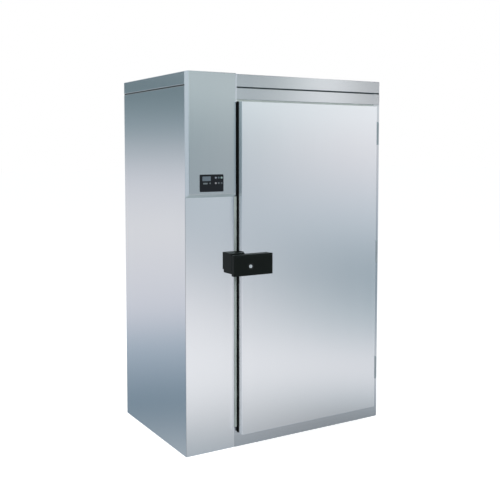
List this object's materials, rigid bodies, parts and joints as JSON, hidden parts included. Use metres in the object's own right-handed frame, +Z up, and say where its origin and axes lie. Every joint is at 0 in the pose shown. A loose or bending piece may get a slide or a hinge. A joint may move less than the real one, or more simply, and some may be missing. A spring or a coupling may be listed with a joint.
{
  "type": "blast chiller",
  "caption": "Roll-in blast chiller: insulated steel cabinet with a full-height hinged door, lever latch, control panel, evaporator and fans behind a swing-out fan panel.",
  "frame": {"origin": "on the floor at the centre of the cabinet's footprint, door and back fittings not counted", "axes": "+X to the right seen from the front, +Y from the door to the back, +Z up"},
  "size_m": [1.4, 1.067, 2.24],
  "materials": {
    "brushed_stainless": "satin",
    "stainless_lining": "satin",
    "stainless_fittings": "satin",
    "zinc_plated_steel": "satin",
    "frame_profile": "matte",
    "circuit_board": "satin",
    "switchgear_plastic": "satin",
    "display_plastic": "gloss",
    "display_screen": "gloss",
    "key_plastic": "satin",
    "latch_coating": "satin",
    "lock_chrome": "polished",
    "fin_aluminium": "satin",
    "copper_tube": "satin",
    "valve_brass": "satin",
    "white_plastic": "satin",
    "lens_plastic": "gloss",
    "black_plastic": "matte",
    "guard_wire": "satin",
    "motor_paint": "matte",
    "fan_plastic": "satin",
    "insulation_foam": "matte",
    "edge_plastic": "matte",
    "gasket_rubber": "matte"
  },
  "bodies": {
    "cabinet": {"floor_panel": "stainless_lining", "left_side_panel": "brushed_stainless", "right_side_panel": "brushed_stainless", "back_panel": "brushed_stainless", "roof_panel": "brushed_stainless", "column_front_panel": "brushed_stainless", "right_jamb": "brushed_stainless", "front_lintel": "brushed_stainless", "door_frame": "frame_profile", "threshold_plate": "stainless_lining", "control_cover": "brushed_stainless", "cover_screws": "stainless_fittings", "electrical_box": "zinc_plated_steel", "control_board": "circuit_board", "control_gear": "switchgear_plastic", "display_case": "display_plastic", "display_window": "display_screen", "latch_keeper": "latch_coating", "hinge_frame_leaves": "stainless_fittings", "hinge_pins": "zinc_plated_steel", "coil_casing": "zinc_plated_steel", "coil_fins": "fin_aluminium", "coil_tubes": "copper_tube", "refrigerant_lines": "copper_tube", "expansion_valve": "valve_brass", "drip_tray": "stainless_lining", "drain_pipe": "white_plastic", "cable_gland": "black_plastic", "light_base": "white_plastic", "light_lens": "lens_plastic", "bumper_rails": "stainless_lining", "door_sensor": "white_plastic", "pressure_vent": "white_plastic", "panel_posts": "stainless_lining"},
    "door": {"door_outer_skin": "brushed_stainless", "door_foam_core": "insulation_foam", "door_inner_liner": "stainless_lining", "door_edge_profile": "edge_plastic", "door_gasket": "gasket_rubber", "hinge_door_leaves": "stainless_fittings", "latch_case": "latch_coating", "lever_pin": "zinc_plated_steel"},
    "lever": {"latch_lever": "latch_coating"},
    "bolt": {"latch_bolt": "zinc_plated_steel"},
    "lock": {"lock_cylinder": "lock_chrome"},
    "release": {"inside_release": "latch_coating"},
    "fan_door": {"fan_panel": "stainless_lining", "fan_shrouds": "zinc_plated_steel", "fan_guards": "guard_wire", "fan_motors": "motor_paint"},
    "lower_fan": {"fan_lower": "fan_plastic"},
    "middle_fan": {"fan_middle": "fan_plastic"},
    "upper_fan": {"fan_upper": "fan_plastic"},
    "fan_door_lock": {"panel_lock": "black_plastic"},
    "key_1_cap": {"key_1": "key_plastic"},
    "key_2_cap": {"key_2": "key_plastic"},
    "key_3_cap": {"key_3": "key_plastic"},
    "key_4_cap": {"key_4": "key_plastic"},
    "key_5_cap": {"key_5": "key_plastic"},
    "key_6_cap": {"key_6": "key_plastic"}
  },
  "joints": [
    {"name": "door_swing", "type": "hinge", "parent": "cabinet", "child": "door", "pos_m": [0.643, -0.498, 1.099], "axis": [0, 0, 1], "range_deg": [0, 115]},
    {"name": "lever_pull", "type": "hinge", "parent": "door", "child": "lever", "pos_m": [-0.2105, -0.5705, 1.103], "axis": [0, 0, 1], "range_deg": [0, 30], "stiffness_Nm_per_rad": 2},
    {"name": "bolt_draw", "type": "slide", "parent": "door", "child": "bolt", "axis": [1, 0, 0], "range_m": [0, 0.024]},
    {"name": "lock_turn", "type": "hinge", "parent": "lever", "child": "lock", "pos_m": [-0.351, -0.585, 1.096], "axis": [0, 1, 0], "range_deg": [0, 90]},
    {"name": "release_push", "type": "slide", "parent": "door", "child": "release", "axis": [0, -1, 0], "range_m": [0, 0.02]},
    {"name": "fan_door_swing", "type": "hinge", "parent": "cabinet", "child": "fan_door", "pos_m": [-0.343, 0.325, 1.095], "axis": [0, 0, 1], "range_deg": [0, 90]},
    {"name": "lower_fan_spin", "type": "hinge", "parent": "fan_door", "child": "lower_fan", "pos_m": [-0.385, 0, 0.535], "axis": [1, 0, 0], "continuous": true},
    {"name": "middle_fan_spin", "type": "hinge", "parent": "fan_door", "child": "middle_fan", "pos_m": [-0.385, 0, 1.095], "axis": [1, 0, 0], "continuous": true},
    {"name": "upper_fan_spin", "type": "hinge", "parent": "fan_door", "child": "upper_fan", "pos_m": [-0.385, 0, 1.655], "axis": [1, 0, 0], "continuous": true},
    {"name": "fan_door_lock_turn", "type": "hinge", "parent": "fan_door", "child": "fan_door_lock", "pos_m": [-0.35, -0.305, 0.815], "axis": [-1, 0, 0], "range_deg": [0, 90]},
    {"name": "key_1_press", "type": "slide", "parent": "cabinet", "child": "key_1_cap", "axis": [0, 1, 0], "range_m": [0, 0.001], "stiffness_N_per_m": 600},
    {"name": "key_2_press", "type": "slide", "parent": "cabinet", "child": "key_2_cap", "axis": [0, 1, 0], "range_m": [0, 0.001], "stiffness_N_per_m": 600},
    {"name": "key_3_press", "type": "slide", "parent": "cabinet", "child": "key_3_cap", "axis": [0, 1, 0], "range_m": [0, 0.001], "stiffness_N_per_m": 600},
    {"name": "key_4_press", "type": "slide", "parent": "cabinet", "child": "key_4_cap", "axis": [0, 1, 0], "range_m": [0, 0.001], "stiffness_N_per_m": 600},
    {"name": "key_5_press", "type": "slide", "parent": "cabinet", "child": "key_5_cap", "axis": [0, 1, 0], "range_m": [0, 0.001], "stiffness_N_per_m": 600},
    {"name": "key_6_press", "type": "slide", "parent": "cabinet", "child": "key_6_cap", "axis": [0, 1, 0], "range_m": [0, 0.001], "stiffness_N_per_m": 600}
  ],
  "couplings": [
    {"joint": "bolt_draw", "follows": "lever_pull", "m_per_rad": 0.0458},
    {"joint": "release_push", "follows": "lever_pull", "m_per_rad": 0.0381}
  ]
}
